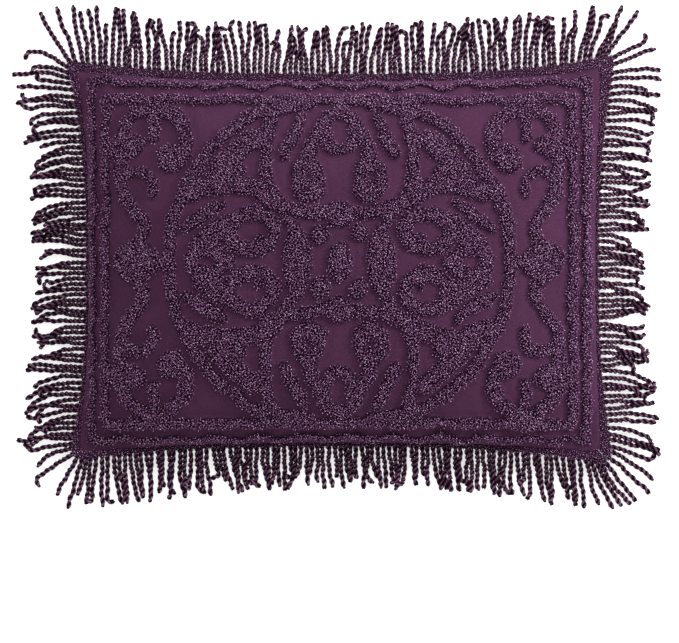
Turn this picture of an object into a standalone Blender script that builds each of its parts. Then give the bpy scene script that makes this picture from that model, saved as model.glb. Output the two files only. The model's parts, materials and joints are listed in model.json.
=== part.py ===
"""Fringed chenille pillow sham, filled, lying on its back on the floor.

Axes: +X along the sham's width, +Y towards its top edge, +Z up through its face.
Origin: the middle of the flat underside.  All lengths are in metres.

Solids:
  filled_sham                      front and back panels sewn together and filled, tufted bands raised
  fringe_top / _bottom / _left / _right   woven heading with its twisted cords, one length per side
"""
import math
import random

import bmesh
import bpy
from mathutils import Vector

MM = 0.001

# ---------------------------------------------------------------- driving dimensions
HALF_WIDTH = 320.5 * MM      # centre to a corner of the seam, across
HALF_HEIGHT = 233.5 * MM     # centre to a corner of the seam, up and down
WAIST_LEFT = 0.058           # share by which the left seam draws in at mid height
WAIST_RIGHT = 0.037
WAIST_UP = 0.068             # the same for the top and bottom seams
WAIST_SHAPE = 3.0            # how the seam bows between its corners
WAIST_DEPTH_ACROSS = 16      # how fast the draw-in fades towards the middle
WAIST_DEPTH_UP = 7
CORNER_SPREAD = 8            # how near its corner a corner's shift stays (more is nearer)
CORNERS = (
    # side across, side up, shift across, shift up, rounding, in mm (shifts are outwards)
    (-1, 1, 2.0, 0.5, 9.0),
    (1, 1, -4.0, 6.0, 12.0),
    (-1, -1, -2.0, -1.0, 19.0),
    (1, -1, -2.5, -1.0, 19.0),
)

CROWN_HEIGHT = 108 * MM      # floor to the top of the filling
SEAM_HEIGHT_SIDE = 27 * MM   # floor to the seam half-way along a side
SEAM_HEIGHT_CORNER = 17 * MM
CROWN_SPREAD = 2.4           # profile (1 - t**spread)**roundness from middle to seam
CROWN_ROUNDNESS = 0.72
REST_SHARE = 0.80            # size of the flat underside against the seam outline
REST_CURVE = 1.5
UNDERSIDE_RINGS = (0.96, 0.89, REST_SHARE)

PUCKER_HEIGHT = 1.6 * MM     # gathers where the face meets the seam
PUCKER_LENGTH = 52 * MM

TUFT_HEIGHT = 5 * MM         # tufted bands above the ground cloth
TUFT_SHOULDER = 4.5 * MM     # width over which a band's edge rises

HEADING_WIDTH = 9 * MM       # woven heading of the fringe
HEADING_THICKNESS = 5 * MM
HEADING_DROOP = 2 * MM       # its outer edge hangs this much lower
SEAM_GAP = 0.4 * MM          # heading to cushion
CORNER_GAP = 0.0016          # share of a side left open at each mitred end

CORDS_LONG_SIDE = 80
CORDS_SHORT_SIDE = 60
CORD_WIDTH = 4.4 * MM
CORD_HEIGHT = 4.0 * MM
CORD_ROOT = 2.5 * MM         # sunk into the heading
CORD_FALL = 24 * MM          # plan distance in which a cord comes down to the floor
CORD_REACH = {               # plan distance from heading to tip, in mm, from the low end of a side to the high end
    "top": (74, 70, 67, 63, 65, 70, 74),
    "bottom": (62, 57, 51, 47, 49, 57, 68),
    "left": (68, 66, 64, 64, 66, 67, 70),
    "right": (70, 65, 59, 54, 59, 65, 69),
}
CORD_SHORTEST = 0.84
CORD_SWAY = 3.6 * MM         # sideways drift of the tips, in slow waves along a side
CORD_SWAY_LENGTH = 105 * MM
CORNER_FAN = math.radians(40)
CORNER_FAN_SPREAD = 9

SAMPLE_STEP = 3.6 * MM       # spacing at which the face is sampled
FACE_SHARE = 0.972           # share of the face that is sampled; a plain margin joins it to the seam
FACE_TRIANGLES = 8500        # what the samples are thinned to, most of them along the tufted bands
SEAM_STEPS_ACROSS = 28       # steps along a long side of the seam, closer towards its corners
SEAM_STEPS_UP = 22

PLUM = (0.085, 0.032, 0.078, 1.0)
PLUM_CORD = (0.075, 0.028, 0.068, 1.0)

# ---------------------------------------------------------------- tufted pattern
# One quarter of it, millimetres from the middle of the face; the other three mirror it.
FRAME_BANDS = (
    # across, up, width at left, width at right, width along top and bottom, wave, wave length
    (300.5, 219.0, 11.5, 18.0, 11.5, 2.8, 54.0),
    (282.0, 196.0, 12.5, 18.5, 15.5, 0.0, 54.0),
)
ARCS = (
    # centre x, centre y, radius x, radius y, from deg, to deg, width
    (0, 0, 203.5, 203.5, 0, 63, 17),       # ring round the medallion
    (0, 0, 181, 181, 29, 58, 27),          # leaf that lies along the ring
    (134, 0, 86, 92, 62, 128, 23),         # side lobe, outer part
    (134, 0, 86, 92, 128, 180, 15.5),      # side lobe, inner part
    (42, 110, 46, 50, -90, 0, 17),         # corner of the top lobe
    (0, 156, 17, 24.5, -90, 15, 15),       # cup at the head of the top lobe
    (36.5, 98, 13, 20, 0, 360, 18),        # teardrop eye
    (104, 35.5, 27, 21.5, 0, 360, 18),     # scroll eye of the side lobe
    (157, 0, 18, 16, 0, 360, 19),          # outer eye of the side lobe
    (222, 143, 39, 41, -12, 198, 18),      # corner scroll
    (241, 88, 19, 20, 60, 196, 14),        # hook under the corner scroll
)
LEAVES = (
    # from x, from y, to x, to y, greatest width, pointedness (0 is a plain bar)
    (91, 179, 36, 190, 16, 0.0),           # ring's end in the frame
    (81, 172, 88, 140, 17, 0.0),           # side of the top lobe
    (88, 140, 88, 110, 16, 0.0),
    (44, 60, 12, 57, 17, 0.0),             # foot of the top lobe
    (51, -44, 51, 44, 37, 0.85),           # thick leaf between the side lobe and the middle
    (45, 172, 66, 126, 16, 0.15),          # slim leaf beside the teardrop
    (15, 174, 33, 140, 17, 0.0),           # stalk of the teardrop
    (33, 140, 38, 112, 20, 0.0),
    (182, 40, 140, 69, 16.5, 0.2),         # slim leaf inside the ring
    (167, 20, 126, 48, 28, 0.2),           # neck between the two eyes of the side lobe
    (262, 141, 261, 98, 17, 0.0),          # corner stem, upper part
    (261, 98, 257, 78, 16, 0.0),
    (257, 78, 245, 60, 16, 0.0),
    (245, 60, 234, 47, 15, 0.0),
    (234, 47, 233, 34, 15, 0.0),
    (233, 34, 247, 12, 15, 0.0),
    (281, 131, 233, 142, 33, 0.95),        # point on the corner stem
    (222, 178, 223, 147, 14, 0.0),         # small inner hook of the corner scroll
    (122, 108, 132, 97, 20, 0.0),          # heel of the leaf along the ring
    (101, 18, 95, 31, 10, 0.2),            # tip that curls into the scroll eye
    (228, 0, 204, 0, 17, 0.0),             # link from the side flower to the ring
)
DOTS = (
    # x, y, radius x, radius y
    (0, 0, 15, 24),
    (23.5, 32.5, 12.5, 13),
    (0, 56.5, 17.5, 17),
    (0, 179, 16, 10),
    (30, 85, 15, 13),
    (135, 0, 13, 12),
    (201, 123, 18, 18),
    (244, 0, 26, 25),
)
STROKE_STEP = 4.0            # millimetres between the samples of a stroke


def bead_row(points, widths):
    """Samples of a stroke as (x, y, half width)."""
    return [(x, y, w / 2) for (x, y), w in zip(points, widths)]


def arc_beads(cx, cy, rx, ry, start, end, width):
    length = math.radians(abs(end - start)) * max(rx, ry)
    count = max(4, round(length / STROKE_STEP))
    turns = [math.radians(start + (end - start) * i / count) for i in range(count + 1)]
    return bead_row([(cx + rx * math.cos(t), cy + ry * math.sin(t)) for t in turns], [width] * (count + 1))


def leaf_beads(x0, y0, x1, y1, width, pointed):
    count = max(4, round(math.hypot(x1 - x0, y1 - y0) / STROKE_STEP))
    shares = [i / count for i in range(count + 1)]
    swell = [1 - pointed * (2 * s - 1) ** 2 for s in shares]
    points = [(x0 + (x1 - x0) * s, y0 + (y1 - y0) * s) for s in shares]
    return bead_row(points, [max(2.0, width * k) for k in swell])


BEADS = [b for row in ARCS for b in arc_beads(*row)] + [b for row in LEAVES for b in leaf_beads(*row)]


def dot_distance(x, y, cx, cy, rx, ry):
    return (math.hypot((x - cx) / rx, (y - cy) / ry) - 1) * min(rx, ry)


def frame_distance(x, y, across, up, left_width, right_width, end_width, wave, wave_length):
    """Signed distance to one rectangular band, in its wavy or straight form."""
    side_width = left_width if x < 0 else right_width
    drift_up = wave * math.sin(2 * math.pi * x / wave_length)
    drift_across = 0.35 * wave * math.sin(2 * math.pi * y / wave_length + 1.0)
    dx, dy = abs(x) - across + drift_across, abs(y) - up + drift_up
    if dx > 0 and dy > 0:
        return math.hypot(dx, dy) - min(side_width, end_width) / 2
    side = abs(dx) - side_width / 2 if dy <= 0 else math.inf
    end = abs(dy) - end_width / 2 if dx <= 0 else math.inf
    return min(side, end)


def pattern_distance(x, y):
    """Distance in millimetres to the nearest tufted band, negative inside one."""
    qx, qy = abs(x), abs(y)
    near = min(math.hypot(qx - bx, qy - by) - half for bx, by, half in BEADS)
    near = min([near] + [dot_distance(qx, qy, *dot) for dot in DOTS])
    return min([near] + [frame_distance(x, y, *band) for band in FRAME_BANDS])


def smooth_step(t):
    t = max(0.0, min(1.0, t))
    return t * t * (3 - 2 * t)


def tuft_lift(x, y):
    """Height of the tufting over the ground cloth at a point of the face, in metres."""
    inside = 0.5 - pattern_distance(x / MM, y / MM) * MM / TUFT_SHOULDER
    return TUFT_HEIGHT * smooth_step(inside)


# ---------------------------------------------------------------- shape of the filled sham
def plan(a, b, grow=0.0):
    """Plan position of the face coordinate (a, b), each -1 to 1, with the outline grown outwards."""
    bow_x = (1 - abs(b) ** WAIST_SHAPE) * abs(a) ** WAIST_DEPTH_ACROSS
    bow_y = (1 - abs(a) ** WAIST_SHAPE) * abs(b) ** WAIST_DEPTH_UP
    x = a * HALF_WIDTH * (1 - (WAIST_LEFT if a < 0 else WAIST_RIGHT) * bow_x)
    y = b * HALF_HEIGHT * (1 - WAIST_UP * bow_y)
    for across, up, shift_x, shift_y, rounding in CORNERS:
        if a * across <= 0 or b * up <= 0:
            continue
        nearness = abs(a * b) ** CORNER_SPREAD
        in_x = max(0.0, 1 - HALF_WIDTH * (1 - abs(a)) / (rounding * MM))
        in_y = max(0.0, 1 - HALF_HEIGHT * (1 - abs(b)) / (rounding * MM))
        cut_x = rounding * in_x * (1 - math.sqrt(1 - in_y ** 2 / 2))
        cut_y = rounding * in_y * (1 - math.sqrt(1 - in_x ** 2 / 2))
        x += across * (shift_x * nearness - cut_x) * MM
        y += up * (shift_y * nearness - cut_y) * MM
    return x + a * grow, y + b * grow


def seam_height(a, b):
    towards_corner = (abs(a) * abs(b)) ** 3
    return SEAM_HEIGHT_SIDE + (SEAM_HEIGHT_CORNER - SEAM_HEIGHT_SIDE) * towards_corner


def crown_share(t):
    return max(0.0, 1 - abs(t) ** CROWN_SPREAD) ** CROWN_ROUNDNESS


def pucker(a, b):
    """Gathers that run in from the seam and fade out on the face."""
    x, y = a * HALF_WIDTH, b * HALF_HEIGHT
    along_top = math.sin(2 * math.pi * x / PUCKER_LENGTH) * abs(b) ** 14 * (1 - abs(b) ** 40)
    along_side = math.sin(2 * math.pi * y / PUCKER_LENGTH + 1.0) * abs(a) ** 20 * (1 - abs(a) ** 60)
    return PUCKER_HEIGHT * (along_top + along_side)


def face_point(a, b):
    x, y = plan(a, b)
    seam = seam_height(a, b)
    rise = (CROWN_HEIGHT - seam) * crown_share(a) * crown_share(b)
    return Vector((x, y, seam + rise + pucker(a, b) + tuft_lift(a * HALF_WIDTH, b * HALF_HEIGHT)))


def underside_point(a, b, share):
    """A point of the back panel, share 1 at the seam and REST_SHARE where it meets the floor."""
    x, y = plan(a, b)
    climb = max(0.0, (share - REST_SHARE) / (1 - REST_SHARE))
    return Vector((x * share, y * share, seam_height(a, b) * climb ** REST_CURVE))


def seam_stations(steps):
    """Places -1 to 1 along one side of the seam; cushion and headings bend at the same ones."""
    return [math.sin(math.pi / 2 * (2 * i / steps - 1)) for i in range(steps + 1)]


def seam_places():
    """Face coordinates round the seam, anticlockwise from the bottom left corner."""
    across, up = seam_stations(SEAM_STEPS_ACROSS)[:-1], seam_stations(SEAM_STEPS_UP)[:-1]
    bottom, right = [(t, -1.0) for t in across], [(1.0, t) for t in up]
    top, left = [(-t, 1.0) for t in across], [(-1.0, -t) for t in up]
    return bottom + right + top + left


def linked_object(name, bm, material, collection):
    mesh = bpy.data.meshes.new(name)
    bm.to_mesh(mesh)
    bm.free()
    if material:
        mesh.materials.append(material)
    obj = bpy.data.objects.new(name, mesh)
    collection.objects.link(obj)
    return obj


def thinned_face(collection):
    """The tufted face as an open sheet: sampled closely, then thinned where it is smooth."""
    columns = 2 * round(HALF_WIDTH * FACE_SHARE / SAMPLE_STEP)
    rows = 2 * round(HALF_HEIGHT * FACE_SHARE / SAMPLE_STEP)
    bm = bmesh.new()
    bmesh.ops.create_grid(bm, x_segments=columns, y_segments=rows, size=FACE_SHARE)
    for vert in bm.verts:
        vert.co = face_point(vert.co.x, vert.co.y)
    bmesh.ops.triangulate(bm, faces=bm.faces)
    triangles = len(bm.faces)
    samples = linked_object("face_samples", bm, None, collection)
    thin = samples.modifiers.new("thin", "DECIMATE")
    thin.ratio = FACE_TRIANGLES / triangles
    sheet = bmesh.new()
    sheet.from_object(samples, bpy.context.evaluated_depsgraph_get())
    bpy.data.objects.remove(samples)
    return sheet


def ring_of(bm, points):
    verts = [bm.verts.new(point) for point in points]
    return [bm.edges.new(pair) for pair in zip(verts, verts[1:] + verts[:1])]


def filled_sham(material, collection):
    """The face, joined to the seam, the back panel's rings and the flat patch it rests on."""
    bm = thinned_face(collection)
    edge = [e for e in bm.edges if e.is_boundary]
    places = seam_places()
    outlines = [[face_point(a, b) for a, b in places]]
    outlines += [[underside_point(a, b, share) for a, b in places] for share in UNDERSIDE_RINGS]
    for outline in outlines:
        ring = ring_of(bm, outline)
        bmesh.ops.bridge_loops(bm, edges=edge + ring)
        edge = ring
    bmesh.ops.contextual_create(bm, geom=edge)
    bmesh.ops.recalc_face_normals(bm, faces=bm.faces)
    return linked_object("filled_sham", bm, material, collection)


# ---------------------------------------------------------------- fringe
def swept(bm, sections):
    """A closed bar through the given sections, each the same number of corners."""
    rings = [[bm.verts.new(point) for point in section] for section in sections]
    for ring, following in zip(rings, rings[1:]):
        for i in range(len(ring)):
            j = (i + 1) % len(ring)
            bm.faces.new((ring[i], ring[j], following[j], following[i]))
    bm.faces.new(list(reversed(rings[0])))
    bm.faces.new(rings[-1])


def on_side(side, t, grow):
    """Plan point and seam height at t (-1 to 1) along a side, grown outwards."""
    a, b = {"top": (t, 1), "bottom": (t, -1), "left": (-1, t), "right": (1, t)}[side]
    x, y = plan(a, b, grow)
    return Vector((x, y, seam_height(a, b)))


OUTWARDS = {"top": 90, "bottom": -90, "left": 180, "right": 0}
FAN_SIGN = {"top": -1, "bottom": 1, "left": -1, "right": 1}


def heading_section(side, t):
    inner, outer = on_side(side, t, SEAM_GAP), on_side(side, t, SEAM_GAP + HEADING_WIDTH)
    half = Vector((0, 0, HEADING_THICKNESS / 2))
    outer.z -= HEADING_DROOP
    return [inner - half, outer - half, outer + half, inner + half]


def cord_reach(side, t):
    """Length of the longest cords at t along a side, in metres."""
    marks = CORD_REACH[side]
    place = (t + 1) / 2 * (len(marks) - 1)
    low = min(int(place), len(marks) - 2)
    return (marks[low] + (marks[low + 1] - marks[low]) * (place - low)) * MM


def cord_sections(side, t, reach, sway):
    """Three stations of one cord: in the heading, where it meets the floor, and its tip."""
    root = on_side(side, t, SEAM_GAP + HEADING_WIDTH - CORD_ROOT)
    fan = FAN_SIGN[side] * math.copysign(CORNER_FAN * abs(t) ** CORNER_FAN_SPREAD, t)
    angle = math.radians(OUTWARDS[side]) + fan
    out = Vector((math.cos(angle), math.sin(angle), 0))
    across = Vector((-out.y, out.x, 0))
    root_base = root.z - HEADING_DROOP - CORD_HEIGHT / 2
    stations = (
        (0.0, 0.0, root_base),
        (CORD_ROOT + CORD_FALL, 0.45 * sway, 0.0),
        (CORD_ROOT + reach, sway, 0.0),
    )
    sections = []
    for distance, drift, base in stations:
        centre = root + out * distance + across * drift
        centre.z = base
        half = across * (CORD_WIDTH / 2)
        sections.append([centre - half, centre + half, centre + Vector((0, 0, CORD_HEIGHT))])
    return sections


def fringe(side, cord_count, seed, material, collection, helpers):
    """One length of fringe: the heading with its cords joined on."""
    chance = random.Random(seed)
    half_length = HALF_WIDTH if side in ("top", "bottom") else HALF_HEIGHT
    end = 1 - CORNER_GAP
    stations = seam_stations(SEAM_STEPS_ACROSS if side in ("top", "bottom") else SEAM_STEPS_UP)
    heading = bmesh.new()
    swept(heading, [heading_section(side, t) for t in [-end] + stations[1:-1] + [end]])
    bmesh.ops.recalc_face_normals(heading, faces=heading.faces)
    strip = linked_object("fringe_" + side, heading, material, collection)

    cords = bmesh.new()
    phase = chance.uniform(0, 2 * math.pi)
    for i in range(cord_count):
        t = -1 + 2 * (i + 0.5) / cord_count
        wave = 2 * math.pi * t * half_length / CORD_SWAY_LENGTH + phase
        sway = CORD_SWAY * math.sin(wave) * (1 - abs(t) ** CORNER_FAN_SPREAD)
        reach = cord_reach(side, t) * chance.uniform(CORD_SHORTEST, 1.0)
        swept(cords, cord_sections(side, t, reach, sway))
    bmesh.ops.recalc_face_normals(cords, faces=cords.faces)
    cord_set = linked_object("cords_" + side, cords, material, helpers)
    cord_set.hide_render = True
    cord_set.display_type = "WIRE"

    join = strip.modifiers.new("join_cords", "BOOLEAN")
    join.operation = "UNION"
    join.object = cord_set
    return strip


def cloth_material(name, colour, roughness):
    material = bpy.data.materials.new(name)
    material.use_nodes = True
    shader = material.node_tree.nodes["Principled BSDF"]
    shader.inputs["Base Color"].default_value = colour
    shader.inputs["Roughness"].default_value = roughness
    shader.inputs["Metallic"].default_value = 0.0
    material.diffuse_color = colour
    return material


def main():
    for old in list(bpy.data.objects):
        bpy.data.objects.remove(old)
    collection = bpy.data.collections.new("chenille_pillow_sham")
    helpers = bpy.data.collections.new("cords_to_join")
    bpy.context.scene.collection.children.link(collection)
    bpy.context.scene.collection.children.link(helpers)
    cloth = cloth_material("plum_chenille_cloth", PLUM, 0.92)
    cord = cloth_material("plum_twisted_cord", PLUM_CORD, 0.88)
    filled_sham(cloth, collection)
    sides = (
        ("top", CORDS_LONG_SIDE, 11),
        ("bottom", CORDS_LONG_SIDE, 12),
        ("left", CORDS_SHORT_SIDE, 13),
        ("right", CORDS_SHORT_SIDE, 14),
    )
    for side, cord_count, seed in sides:
        fringe(side, cord_count, seed, cord, collection, helpers)


main()
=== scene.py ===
"""Plum chenille pillow sham with a twisted cord fringe, filled, lying face up on a pale floor.

Lengths are in metres unless a name says otherwise.  +X runs along the sham's width, +Y towards
its top edge and +Z up through its face.  The pattern is drawn in millimetres from the middle.
"""
import json
import math
import random

import bmesh
import bpy
import numpy as np
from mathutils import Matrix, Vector

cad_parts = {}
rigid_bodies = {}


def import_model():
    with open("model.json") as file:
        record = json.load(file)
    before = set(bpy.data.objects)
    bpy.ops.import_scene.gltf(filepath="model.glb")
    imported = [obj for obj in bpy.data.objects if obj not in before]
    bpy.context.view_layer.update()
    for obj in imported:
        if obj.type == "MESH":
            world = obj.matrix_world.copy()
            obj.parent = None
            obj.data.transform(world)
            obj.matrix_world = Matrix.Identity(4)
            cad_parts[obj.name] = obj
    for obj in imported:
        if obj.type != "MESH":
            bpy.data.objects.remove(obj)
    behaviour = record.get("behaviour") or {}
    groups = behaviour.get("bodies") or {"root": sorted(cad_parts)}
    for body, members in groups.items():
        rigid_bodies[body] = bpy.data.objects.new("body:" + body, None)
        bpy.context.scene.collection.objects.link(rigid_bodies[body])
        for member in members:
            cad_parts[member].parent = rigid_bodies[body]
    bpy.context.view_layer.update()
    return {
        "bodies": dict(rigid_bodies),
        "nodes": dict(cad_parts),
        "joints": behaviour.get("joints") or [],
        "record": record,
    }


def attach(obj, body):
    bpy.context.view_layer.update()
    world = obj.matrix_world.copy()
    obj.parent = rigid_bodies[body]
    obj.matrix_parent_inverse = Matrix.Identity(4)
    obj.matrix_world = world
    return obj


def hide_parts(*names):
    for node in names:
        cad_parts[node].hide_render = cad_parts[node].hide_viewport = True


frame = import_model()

MM = 0.001

# -------- sham
HALF_WIDTH = 320.5 * MM
HALF_HEIGHT = 233.5 * MM
WAIST_LEFT = 0.058  # share by which a side draws in half-way along it
WAIST_RIGHT = 0.037
WAIST_UP = 0.068
WAIST_SHAPE = 3.0
WAIST_DEPTH_ACROSS = 16  # how near the seam the drawing in stays (more is nearer)
WAIST_DEPTH_UP = 7
CORNER_SPREAD = 8  # how near its corner a corner's shift stays (more is nearer)
CORNERS = (
    # side across, side up, shift across, shift up, rounding, in mm (shifts are outwards)
    (-1, 1, 2.0, 0.5, 9.0),
    (1, 1, -4.0, 6.0, 12.0),
    (-1, -1, -2.0, -1.0, 19.0),
    (1, -1, -2.5, -1.0, 19.0),
)
CROWN_HEIGHT = 108 * MM
SEAM_HEIGHT_SIDE = 27 * MM
SEAM_HEIGHT_CORNER = 17 * MM
CROWN_SPREAD = 2.4
CROWN_ROUNDNESS = 0.72
REST_SHARE = 0.80  # size of the flat part that it rests on, next to the seam
REST_CURVE = 1.5
UNDER_SHARES = (0.975, 0.94, 0.90, 0.86, 0.83, REST_SHARE)  # rings of the underside, likewise
SEAM_SHADE_REACHES = (3.4 * MM, 2.6 * MM, 3.0 * MM, 2.0 * MM)  # painted shade along the seam, how far it reaches: top, bottom, left, right
COVER_COLUMNS = 256
COVER_ROWS = 186

# -------- slack cover settling on its filling
SETTLE_COLUMNS = 120
SETTLE_ROWS = 88
SETTLE_FRAMES = 22
SPARE_CLOTH = 0.03  # share by which the cover is cut larger than the filling, at the seam
SPARE_REACH = 110 * MM  # how far in from the seam the spare cloth fades out
FILLING_REACH = 90 * MM  # how far in from the seam the filling holds the cover fully
FILLING_HOLD = (0.04, 0.60)  # how firmly it holds the cover by the seam and in the middle
SETTLE_CAP = 3.5 * MM  # the furthest that a point of the cover may move
SETTLING = {
    "quality": 6, "mass": 0.05, "tension_stiffness": 40, "compression_stiffness": 40,
    "shear_stiffness": 20, "bending_stiffness": 16, "vertex_group_mass": "held", "pin_stiffness": 1.0,
    "vertex_group_shrink": "taut", "shrink_min": -SPARE_CLOTH, "shrink_max": 0.0,
    "use_pressure": True, "uniform_pressure_force": 4,
}
BARE = 50.0  # pattern distance of cloth without pile near it

# -------- unevenness of the face, in mm
GATHER_DEPTH = 0.55
GATHER_START = 3.0  # gathers begin this far from the seam
GATHER_REACH = 17  # and fade over this distance
GATHER_SPLAY = 0.25
GATHER_LENGTHS = (13, 42)
SLACK_DEPTH = 1.5
SLACK_LENGTHS = (120, 260)
DRAG_DEPTH = 0.8
DRAG_LINES = 26
DRAG_REACH = 0.22  # share of the face that the drag lines reach in from a corner
PULL_DEPTH = 0.7  # ground cloth drawn down beside a band
PULL_PLACE = 3.0
PULL_WIDTH = 2.6
EDGE_FADE = 0.02  # share of the face, by the seam, that has neither bed nor pull

# -------- pile and cords
PILE_BED = 1.6 * MM  # ground cloth lifted under the pile
BED_EDGE = (0.0, 3.0)  # how far inside a band's edge something starts, and its slope, in mm
# where the painted shade on the ground cloth under and beside the pile starts, and its slope, in mm
PILE_SHADE_EDGE = (0.5, 2.5)
PILE_EDGE = (1.1, 1.6)
PILE_LENGTH = 4.3 * MM
PILE_SPACING = 2.55 * MM
TUFT_RADIUS = 0.5 * MM
TUFT_SIZES = (0.78, 1.18)
TUFTS_PER_SQUARE_METRE = 1200000.0  # more than there is room for at the pile's spacing
SIDE_SEEDS = {"top": 11, "bottom": 12, "left": 13, "right": 14}
CORD_COUNTS = {"top": 92, "bottom": 97, "left": 71, "right": 66}
PLACE_SPREAD = 0.18  # unevenness of the cords' spacing, as a share of it
CORD_WIDTH = 6.5 * MM  # across both plies, without the swell at the tip
CORD_TURN = 15.4 * MM  # length of one full twist
CORD_PACES = (0.86, 1.16)  # how tightly single cords are twisted, as shares of that
YARN_LAY = 4.2 * MM  # length of one twist of a ply's own yarns
TAPE_TUCK = 1.6 * MM  # heading caught in the seam
CORD_START = 3.5 * MM  # how far inside the heading's outer edge a cord begins
ROOT_SWELL = 0.12  # how much thicker a cord is where it leaves the heading
ROOT_SHADE = 22 * MM  # how far along a cord the painted shade at its root goes
HEADING_WIDTH = 10.4 * MM
HEADING_SHOWS = {
    # how much of the looped heading shows, in mm: low end, middle and high end of a side
    "top": (10.0, 9.0, 12.0),
    "bottom": (7.0, 4.5, 11.0),
    "left": (8.0, 3.2, 8.0),
    "right": (12.0, 3.0, 15.0),
}
LOOP_LENGTH = 2.3 * MM
LOOP_SPACING = 2.2 * MM
HEADING_THICKNESS = 4.6 * MM
HEADING_DROOP = 2 * MM
TAPE_STATIONS = 161
TAPE_ENDS = 0.9986  # how far towards its mitres a heading goes
TAPE_SECTION = (
    # corners of the heading's section: share of its width, share of half its thickness
    (0.0, -0.6), (0.07, -1.0), (0.93, -1.0), (1.0, -0.5),
    (1.0, 0.5), (0.90, 1.0), (0.10, 1.0), (0.0, 0.6),
)
CORD_FALL = 30 * MM  # plan distance in which a cord comes down to the floor
FALL_START = 4 * MM
ROOT_SAG = 0.3 * MM
FLOOR_GAP = 0.2 * MM
CORD_REACH = {
    # plan distance from heading to tip, in mm, from the low end of a side to the high end
    "top": (74, 70, 67, 63, 65, 70, 74),
    "bottom": (62, 57, 51, 47, 49, 57, 68),
    "left": (68, 66, 64, 64, 66, 67, 70),
    "right": (70, 65, 59, 54, 59, 65, 69),
}
CORNER_FAN = math.radians(43)
CORNER_FAN_SPREAD = {
    # how few cords share the fan at the low and the high end of a side (more is fewer)
    "top": (24, 12),
    "bottom": (26, 9),
    "left": (24, 16),
    "right": (10, 12),
}
CORD_DRAPE = {
    # in degrees: lean at the root, turn by the tip, spread of that turn; then the hooked share
    "top": (0, 0, 8, 0.22),
    "bottom": (1, 6, 10, 0.30),
    "left": (-9, 26, 13, 0.30),
    "right": (4, -14, 14, 0.34),
}
CORD_LENGTHS = (0.72, 0.84, 0.90, 0.93, 0.95, 0.97, 0.98, 1.01)
CORD_POINTS = 26
ROOT_SPREAD = 3  # unevenness of the lean at the root, in degrees
LEAN_WAVES = 5.0  # lean that neighbouring cords share, in degrees
RIPPLE = (2, 9)  # slow bend along a cord, in degrees
RIPPLE_TURNS = (0.9, 2.0)
KINK = (4, 13)  # short bends, in degrees
KINK_LENGTH = (13, 21)  # in mm
HOOK = (45, 125)  # curl of a hooked tip, in degrees
HOOK_LENGTH = (10, 16)  # in mm
LAID_BEFORE = 4  # how many cords laid before it a cord may cross
ROOT_POINTS = 7  # points by its root where a cord is never lifted
TOUCH = 0.90 * CORD_WIDTH  # plan distance at which two cords touch
LIFT = 0.95 * CORD_WIDTH  # height of one cord over another where they cross

# -------- tufted pattern, one quarter
FRAME_BANDS = (
    # to the left, to the right, up, width at left, at right, along top and bottom, wave, wave length
    (300.5, 298.8, 218.5, 11.5, 14.5, 11.0, 2.8, 54.0),
    (282.0, 279.8, 196.0, 12.5, 14.0, 15.0, 0.0, 54.0),
)
ARCS = (
    # centre x, centre y, radius x, radius y, from deg, to deg, width
    (0, 0, 203.5, 203.5, 0, 63, 16),  # ring round the medallion
    (0, 0, 179.3, 179.3, 29, 55, 24.0),  # leaf that lies along the ring
    (134, 0, 86, 92, 62, 128, 23),  # side lobe, outer part
    (134, 0, 88, 94.5, 128, 180, 13.5),  # side lobe, inner part
    (42, 110, 46, 50, -90, 0, 17),  # corner of the top lobe
    (0, 156, 17, 24.5, -90, 15, 15),  # cup at the head of the top lobe
    (37.5, 97.5, 13.5, 20.5, 0, 360, 16.5),  # teardrop eye
    (104, 35.5, 27, 21.5, 0, 360, 18),  # scroll eye of the side lobe
    (157, 0, 18, 16, 0, 360, 19),  # outer eye of the side lobe
    (222, 143, 39, 41, -12, 198, 18),  # corner scroll
    (241, 88, 19, 20, 60, 196, 14),  # hook under the corner scroll
)
LEAVES = (
    # from x, from y, to x, to y, greatest width, pointedness (0 is a plain bar)
    (91, 179, 36, 190, 16, 0.0),  # ring's end in the frame
    (81, 172, 88, 140, 17, 0.0),  # side of the top lobe
    (88, 140, 88, 110, 16, 0.0),
    (44, 60, 12, 57, 17, 0.0),  # foot of the top lobe
    (50, -44, 50, 44, 35, 0.85),  # thick leaf between the side lobe and the middle
    (45, 172, 66, 126, 16, 0.15),  # slim leaf beside the teardrop
    (15, 174, 33, 140, 17, 0.0),  # stalk of the teardrop
    (33, 140, 38, 112, 20, 0.0),
    (182, 40, 140, 69, 16.5, 0.2),  # slim leaf inside the ring
    (167, 20, 126, 48, 28, 0.2),  # neck between the two eyes of the side lobe
    (262, 141, 261, 98, 17, 0.0),  # corner stem, upper part
    (261, 98, 257, 78, 16, 0.0),
    (257, 78, 245, 60, 16, 0.0),
    (245, 60, 234, 47, 15, 0.0),
    (234, 47, 233, 34, 15, 0.0),
    (233, 34, 247, 12, 15, 0.0),
    (281, 131, 233, 142, 33, 0.95),  # point on the corner stem
    (222, 178, 223, 147, 14, 0.0),  # small inner hook of the corner scroll
    (122, 108, 132, 97, 20, 0.0),  # heel of the leaf along the ring
    (101, 18, 95, 31, 10, 0.2),  # tip that curls into the scroll eye
    (228, 0, 204, 0, 17, 0.0),  # link from the side flower to the ring
)
DOTS = (
    # x, y, radius x, radius y
    (0, 0, 15, 24),
    (23.5, 32.5, 12.5, 13),
    (0, 56.5, 17.5, 17),
    (0, 179, 16, 10),
    (30, 85, 15, 13),
    (135, 0, 13, 12),
    (201, 123, 18, 18),
    (244, 0, 26, 25),
)
STROKE_STEP = 3.0  # distance between the beads that make up a band
THINNEST_LEAF = 2.0
SIDE_WAVE = 0.35  # how wavy the frame's upright bands are, next to its level ones
DRIFT = 1.3  # how far the bands wander
DRIFT_LENGTHS = (45, 110)
RAGGED = 0.9  # how uneven their edges are
RAGGED_LENGTHS = (7, 19)

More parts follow.
